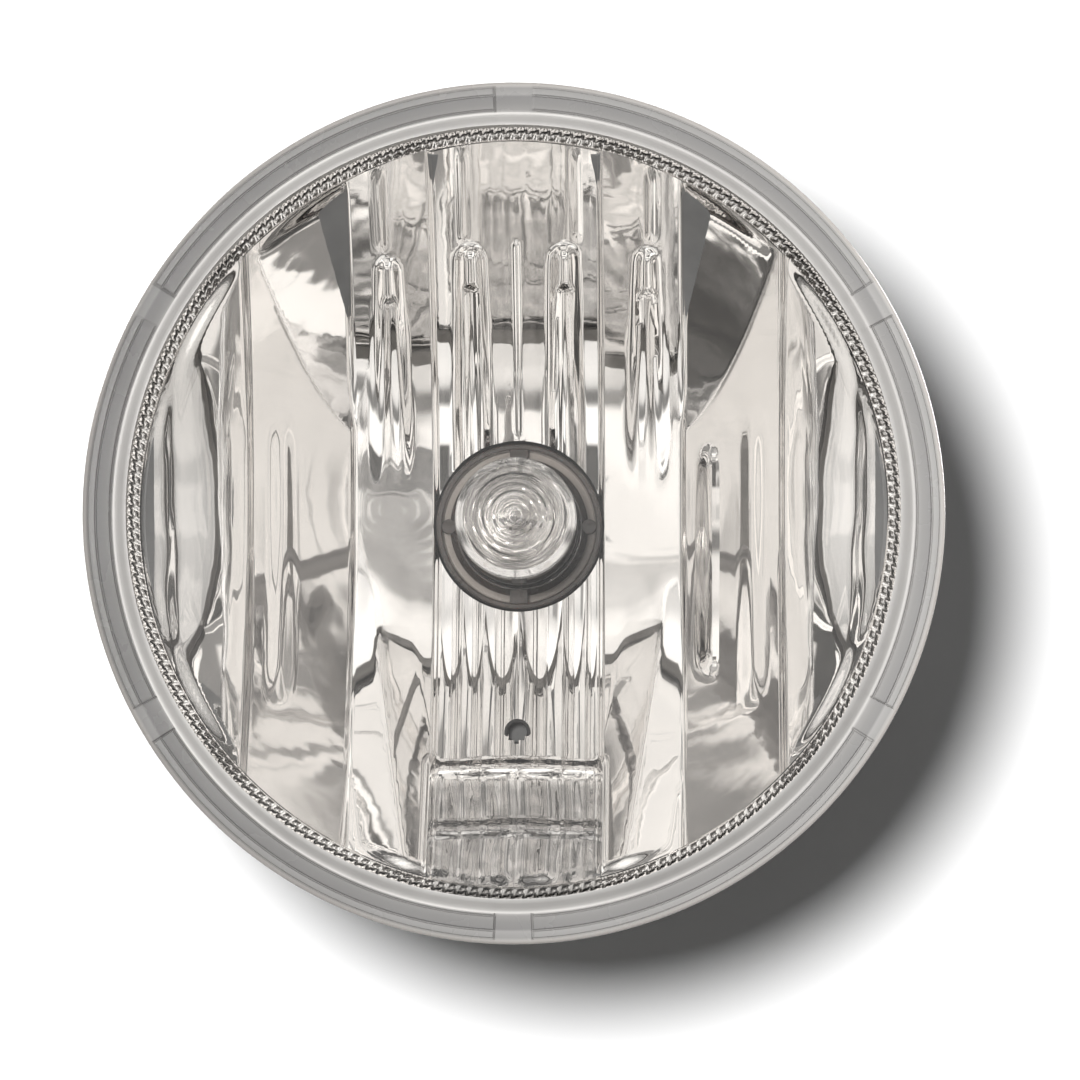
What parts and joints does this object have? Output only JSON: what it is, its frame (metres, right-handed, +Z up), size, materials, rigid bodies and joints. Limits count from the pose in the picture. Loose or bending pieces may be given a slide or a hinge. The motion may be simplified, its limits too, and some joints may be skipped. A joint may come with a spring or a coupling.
{
  "type": "fog light",
  "caption": "Round clear-lens fog light with a chrome reflector and twist-lock bulb, tilting in a bolt-on yoke by an aiming screw.",
  "frame": {"origin": "centre of the three-hole bolt circle, on the yoke's rear face", "axes": "+Y along the lamp's axis from the lens to the mounting face, +Z up, +X to the right as seen from in front of the lens"},
  "size_m": [0.11, 0.09, 0.11],
  "materials": {
    "clear_lens": "clear hard-coated polycarbonate",
    "sealant": "grey cured sealing bead",
    "housing_plastic": "black moulded, fine texture",
    "mirror_coat": "bright vacuum-metallised",
    "zinc_screw": "zinc plated",
    "vent_rubber": "soft black rubber",
    "insert_brass": "knurled brass",
    "nylon": "natural nylon",
    "coated_steel": "black e-coat on pressed steel",
    "spring_steel": "phosphated spring steel",
    "bulb_clear": "clear blown glass",
    "bulb_ceramic": "fired ceramic",
    "tungsten": "drawn tungsten wire",
    "smoke_plastic": "smoky heat-resistant plastic",
    "base_plastic": "dark grey moulded",
    "ring_rubber": "silicone",
    "tin_blade": "tin plated"
  },
  "bodies": {
    "yoke": {"bracket": "coated_steel", "pivot_bush_left": "nylon", "pivot_bush_right": "nylon", "adjuster_bush": "nylon", "adjuster_washer": "nylon"},
    "lamp": {"lens": "clear_lens", "lens_seal": "sealant", "housing": "housing_plastic", "reflector": "mirror_coat", "reflector_screws": "zinc_screw", "vent_cap": "vent_rubber", "pivot_inserts": "insert_brass", "pivot_screws": "zinc_screw", "pivot_washers": "nylon", "ball_socket": "nylon"},
    "bulb": {"bulb_glass": "bulb_clear", "bulb_stem": "bulb_ceramic", "bulb_leads": "tungsten", "bulb_filament": "tungsten", "bulb_collar": "smoke_plastic", "bulb_base": "base_plastic", "bulb_o_ring": "ring_rubber", "bulb_terminals": "tin_blade"},
    "aiming_screw": {"adjuster_screw": "zinc_screw", "adjuster_clip": "spring_steel"},
    "aiming_nut": {"ball_nut": "nylon"}
  },
  "joints": [
    {"name": "aim_tilt", "type": "hinge", "parent": "yoke", "child": "lamp", "pos_m": [0, -0.048, 0], "axis": [1, 0, 0], "range_deg": [-4, 4]},
    {"name": "bulb_twist", "type": "hinge", "parent": "lamp", "child": "bulb", "pos_m": [0, -0.03, 0], "axis": [0, 1, 0], "range_deg": [0, 30]},
    {"name": "adjuster_turn", "type": "hinge", "parent": "yoke", "child": "aiming_screw", "pos_m": [0, -0.0175, -0.045], "axis": [0, 1, 0], "range_deg": [-760, 760]},
    {"name": "nut_slide", "type": "slide", "parent": "yoke", "child": "aiming_nut", "axis": [0, 1, 0], "range_m": [-0.0032, 0.0032]}
  ],
  "couplings": [
    {"joint": "nut_slide", "follows": "aim_tilt", "m_per_rad": 0.045},
    {"joint": "adjuster_turn", "follows": "aim_tilt", "ratio": -188.5}
  ]
}
